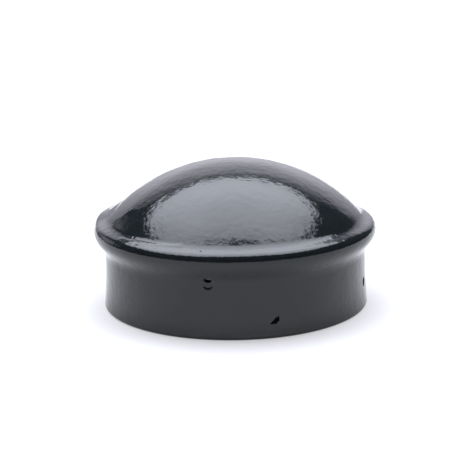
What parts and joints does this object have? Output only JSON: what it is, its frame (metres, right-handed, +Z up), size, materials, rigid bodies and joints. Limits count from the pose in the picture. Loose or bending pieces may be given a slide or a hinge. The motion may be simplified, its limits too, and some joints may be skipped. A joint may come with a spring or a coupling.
{
  "type": "fence post cap",
  "caption": "Domed round cap that covers the open end of a round tubular fence post and is held by soft-tipped grub screws in its skirt.",
  "frame": {"origin": "centre of the open mouth, on the plane of the skirt's lower edge", "axes": "+Z up the cap's axis to the top of the dome; the front grub screw is at -Y"},
  "size_m": [0.0954, 0.0954, 0.049],
  "materials": {
    "coating": "thick gloss black powder coat with an orange-peel skin",
    "screw_steel": "black oxide on hardened steel, satin",
    "nylon": "plain natural nylon, matt"
  },
  "bodies": {
    "cap": {"cap_casting": "coating"},
    "tip_front": {"screw_tip_front": "nylon"},
    "screw_front": {"grub_screw_front": "screw_steel"},
    "tip_rear_right": {"screw_tip_rear_right": "nylon"},
    "screw_rear_right": {"grub_screw_rear_right": "screw_steel"},
    "tip_rear_left": {"screw_tip_rear_left": "nylon"},
    "screw_rear_left": {"grub_screw_rear_left": "screw_steel"}
  },
  "joints": [
    {"name": "tip_front_travel", "type": "slide", "parent": "cap", "child": "tip_front", "axis": [0, 1, 0], "range_m": [-0.0003, 0.0016]},
    {"name": "screw_front_turn", "type": "hinge", "parent": "tip_front", "child": "screw_front", "pos_m": [0, -0.04135, 0.0184], "axis": [0, 1, 0], "range_deg": [-154.5, 823]},
    {"name": "tip_rear_right_travel", "type": "slide", "parent": "cap", "child": "tip_rear_right", "axis": [-0.866, -0.5, 0], "range_m": [-0.0003, 0.0016]},
    {"name": "screw_rear_right_turn", "type": "hinge", "parent": "tip_rear_right", "child": "screw_rear_right", "pos_m": [0.03581, 0.02067, 0.0184], "axis": [-0.866, -0.5, 0], "range_deg": [-154.5, 823]},
    {"name": "tip_rear_left_travel", "type": "slide", "parent": "cap", "child": "tip_rear_left", "axis": [0.866, -0.5, 0], "range_m": [-0.0003, 0.0016]},
    {"name": "screw_rear_left_turn", "type": "hinge", "parent": "tip_rear_left", "child": "screw_rear_left", "pos_m": [-0.03581, 0.02067, 0.0184], "axis": [0.866, -0.5, 0], "range_deg": [-154.5, 823]}
  ],
  "couplings": [
    {"joint": "screw_front_turn", "follows": "tip_front_travel", "rad_per_m": 8976},
    {"joint": "screw_rear_right_turn", "follows": "tip_rear_right_travel", "rad_per_m": 8976},
    {"joint": "screw_rear_left_turn", "follows": "tip_rear_left_travel", "rad_per_m": 8976}
  ]
}
